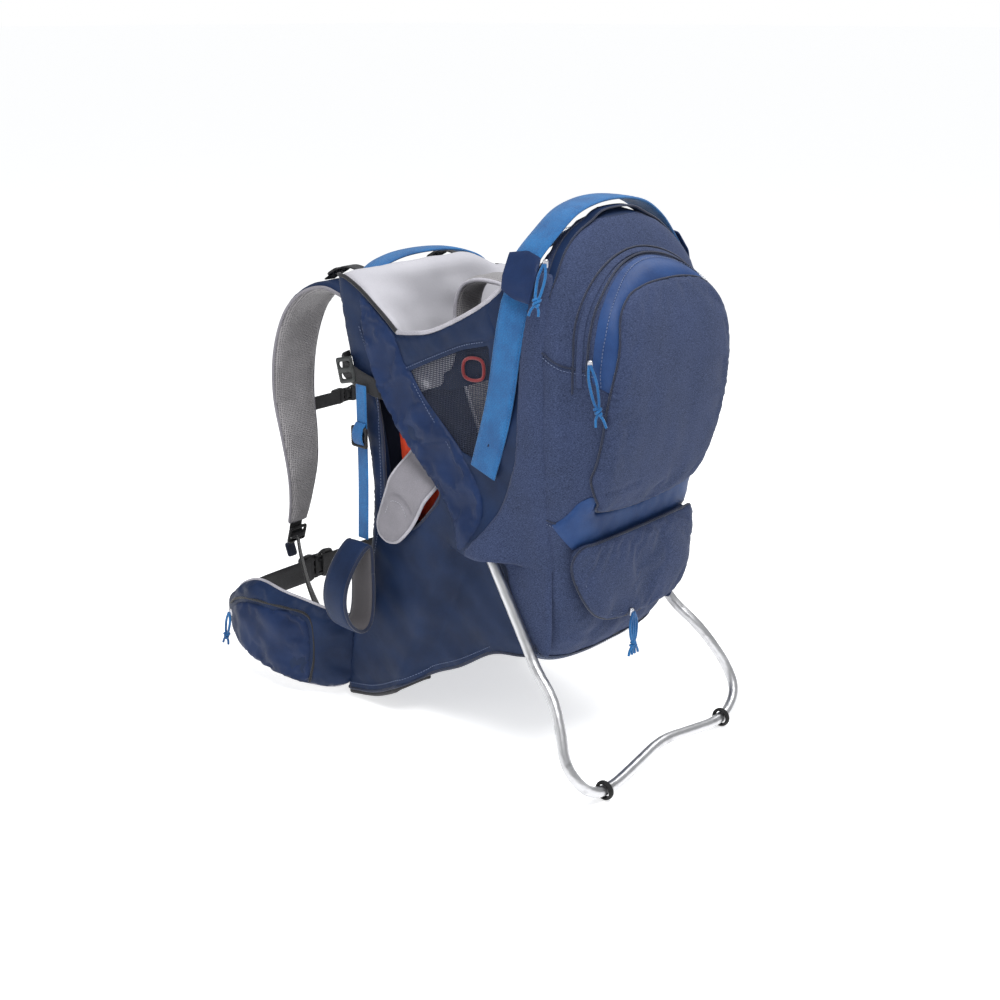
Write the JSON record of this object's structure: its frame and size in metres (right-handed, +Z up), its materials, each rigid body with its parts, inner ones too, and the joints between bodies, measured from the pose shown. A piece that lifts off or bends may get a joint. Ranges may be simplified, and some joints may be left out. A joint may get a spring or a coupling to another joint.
{
  "type": "child carrier backpack",
  "caption": "Framed backpack for carrying a seated child, with a fold-out kickstand, padded harness, hip belt, foot stirrups and a zipped storage bag.",
  "frame": {"origin": "middle of the flat underside of the base skid, on the floor under the front frame", "axes": "+X towards the wearer's right, +Y the way the wearer walks, +Z up"},
  "size_m": [0.4866, 0.7105, 0.7149],
  "materials": {
    "bare_aluminium": "brushed",
    "steel": "satin",
    "black_rubber": "matte",
    "black_plastic": "matte",
    "red_plastic": "matte",
    "navy_nylon": "plain woven nylon",
    "navy_heather": "heathered weave",
    "blue_webbing": "webbing",
    "black_webbing": "webbing",
    "grey_mesh": "spacer mesh",
    "grey_lining": "soft lining"
  },
  "bodies": {
    "frame": {"front_frame": "bare_aluminium", "rear_hoop": "bare_aluminium", "base_skid": "black_rubber", "back_panel": "navy_nylon", "lumbar_pad": "grey_mesh", "lower_bag": "navy_nylon", "pack_bag": "navy_heather", "front_pocket": "navy_heather", "side_panel_left": "navy_nylon", "side_panel_right": "navy_nylon", "stand_bracket_left": "black_plastic", "stand_bracket_right": "black_plastic", "stand_pin_left": "steel", "stand_pin_right": "steel", "stand_spring_left": "steel", "stand_spring_right": "steel", "strap_tail_left": "black_webbing", "strap_tail_right": "black_webbing", "stirrup_lock_left": "black_plastic", "stirrup_lock_right": "black_plastic", "child_back_pad": "grey_lining", "drool_pad": "grey_lining"},
    "stand": {"stand_tube": "bare_aluminium", "foot_ring_left": "black_rubber", "foot_ring_right": "black_rubber"},
    "yoke": {"shoulder_yoke": "grey_mesh"},
    "strap_left": {"shoulder_strap_left": "grey_mesh", "strap_lock_left": "black_plastic", "load_lifter_left": "black_webbing"},
    "strap_right": {"shoulder_strap_right": "grey_mesh", "strap_lock_right": "black_plastic", "load_lifter_right": "black_webbing"},
    "sternum_left": {"sternum_strap_left": "black_webbing"},
    "sternum_right": {"sternum_strap_right": "black_webbing", "sternum_buckle_socket": "black_plastic"},
    "sternum_prongs": {"sternum_buckle_prongs": "black_plastic"},
    "hip_left": {"hip_wing_left": "navy_nylon", "belt_webbing_left": "black_webbing"},
    "hip_right": {"hip_wing_right": "navy_nylon", "belt_webbing_right": "black_webbing", "belt_buckle_socket": "black_plastic"},
    "belt_prongs": {"belt_buckle_prongs": "black_plastic"},
    "belt_zip": {"belt_zip_pull": "blue_webbing"},
    "seat": {"seat_pan": "navy_nylon", "seat_wing_left": "grey_lining", "seat_wing_right": "grey_lining", "harness_buckle": "black_plastic"},
    "harness_button": {"harness_button": "red_plastic"},
    "child_straps": {"child_strap_left": "grey_mesh", "child_strap_right": "grey_mesh"},
    "stirrup_web_left": {"stirrup_webbing_left": "blue_webbing"},
    "stirrup_loop_left": {"stirrup_left": "navy_nylon"},
    "stirrup_web_right": {"stirrup_webbing_right": "blue_webbing"},
    "stirrup_loop_right": {"stirrup_right": "navy_nylon"},
    "front_handle": {"front_handle": "blue_webbing"},
    "rear_handle": {"rear_handle": "blue_webbing"},
    "main_zip": {"main_zip_pull": "blue_webbing"},
    "pocket_zip": {"pocket_zip_pull": "blue_webbing"},
    "lower_zip": {"lower_zip_pull": "blue_webbing"},
    "lower_pocket": {"lower_pocket": "navy_heather"}
  },
  "joints": [
    {"name": "stand_fold", "type": "hinge", "parent": "frame", "child": "stand", "pos_m": [0, -0.2505, 0.29], "axis": [1, 0, 0], "range_deg": [0, 60]},
    {"name": "torso_adjust", "type": "slide", "parent": "frame", "child": "yoke", "axis": [0, 0, 1], "range_m": [-0.06, 0.015]},
    {"name": "strap_left_swing", "type": "hinge", "parent": "yoke", "child": "strap_left", "pos_m": [-0.1, 0.012, 0.567], "axis": [1, 0, 0], "range_deg": [-12, 30]},
    {"name": "strap_right_swing", "type": "hinge", "parent": "yoke", "child": "strap_right", "pos_m": [0.1, 0.012, 0.567], "axis": [1, 0, 0], "range_deg": [-12, 30]},
    {"name": "sternum_left_height", "type": "slide", "parent": "strap_left", "child": "sternum_left", "axis": [0, 0, 1], "range_m": [-0.03, 0.03]},
    {"name": "sternum_right_height", "type": "slide", "parent": "strap_right", "child": "sternum_right", "axis": [0, 0, 1], "range_m": [-0.03, 0.03]},
    {"name": "sternum_buckle_release", "type": "slide", "parent": "sternum_left", "child": "sternum_prongs", "axis": [-1, 0, 0], "range_m": [0, 0.03]},
    {"name": "hip_left_open", "type": "hinge", "parent": "frame", "child": "hip_left", "pos_m": [-0.157, 0.012, 0.072], "axis": [0, 0, 1], "range_deg": [0, 45]},
    {"name": "hip_right_open", "type": "hinge", "parent": "frame", "child": "hip_right", "pos_m": [0.157, 0.012, 0.072], "axis": [0, 0, 1], "range_deg": [-45, 0]},
    {"name": "belt_buckle_release", "type": "slide", "parent": "hip_left", "child": "belt_prongs", "axis": [-1, 0, 0], "range_m": [0, 0.035]},
    {"name": "belt_zip_slide", "type": "slide", "parent": "hip_left", "child": "belt_zip", "axis": [0, 1, 0], "range_m": [-0.05, 0.03]},
    {"name": "seat_height", "type": "slide", "parent": "frame", "child": "seat", "axis": [0, 0, 1], "range_m": [0, 0.06]},
    {"name": "harness_button_press", "type": "slide", "parent": "seat", "child": "harness_button", "axis": [0, -1, 0], "range_m": [0, 0.002]},
    {"name": "child_strap_height", "type": "slide", "parent": "frame", "child": "child_straps", "axis": [0, 0, 1], "range_m": [0, 0.04]},
    {"name": "stirrup_left_height", "type": "slide", "parent": "frame", "child": "stirrup_web_left", "axis": [0, 0, 1], "range_m": [0, 0.05]},
    {"name": "stirrup_left_swing", "type": "hinge", "parent": "stirrup_web_left", "child": "stirrup_loop_left", "pos_m": [-0.168, -0.055, 0.2585], "axis": [1, 0, 0], "range_deg": [-20, 30]},
    {"name": "stirrup_right_height", "type": "slide", "parent": "frame", "child": "stirrup_web_right", "axis": [0, 0, 1], "range_m": [0, 0.05]},
    {"name": "stirrup_right_swing", "type": "hinge", "parent": "stirrup_web_right", "child": "stirrup_loop_right", "pos_m": [0.168, -0.055, 0.2585], "axis": [1, 0, 0], "range_deg": [-20, 30]},
    {"name": "front_handle_swing", "type": "hinge", "parent": "frame", "child": "front_handle", "pos_m": [0, -0.01, 0.597], "axis": [1, 0, 0], "range_deg": [-5, 15]},
    {"name": "rear_handle_swing", "type": "hinge", "parent": "frame", "child": "rear_handle", "pos_m": [0, -0.302, 0.62], "axis": [1, 0, 0], "range_deg": [-10, 15]},
    {"name": "main_zip_slide", "type": "slide", "parent": "frame", "child": "main_zip", "axis": [0, 0, 1], "range_m": [-0.05, 0.03]},
    {"name": "pocket_zip_slide", "type": "slide", "parent": "frame", "child": "pocket_zip", "axis": [0, 0, 1], "range_m": [-0.06, 0.04]},
    {"name": "lower_zip_slide", "type": "slide", "parent": "frame", "child": "lower_zip", "axis": [1, 0, 0], "range_m": [-0.08, 0.08]},
    {"name": "lower_pocket_open", "type": "hinge", "parent": "frame", "child": "lower_pocket", "pos_m": [0, -0.381, 0.324], "axis": [1, 0, 0], "range_deg": [-65, 0]}
  ],
  "couplings": [
    {"joint": "strap_right_swing", "follows": "strap_left_swing", "ratio": 1},
    {"joint": "sternum_right_height", "follows": "sternum_left_height", "ratio": 1},
    {"joint": "hip_right_open", "follows": "hip_left_open", "ratio": -1}
  ]
}
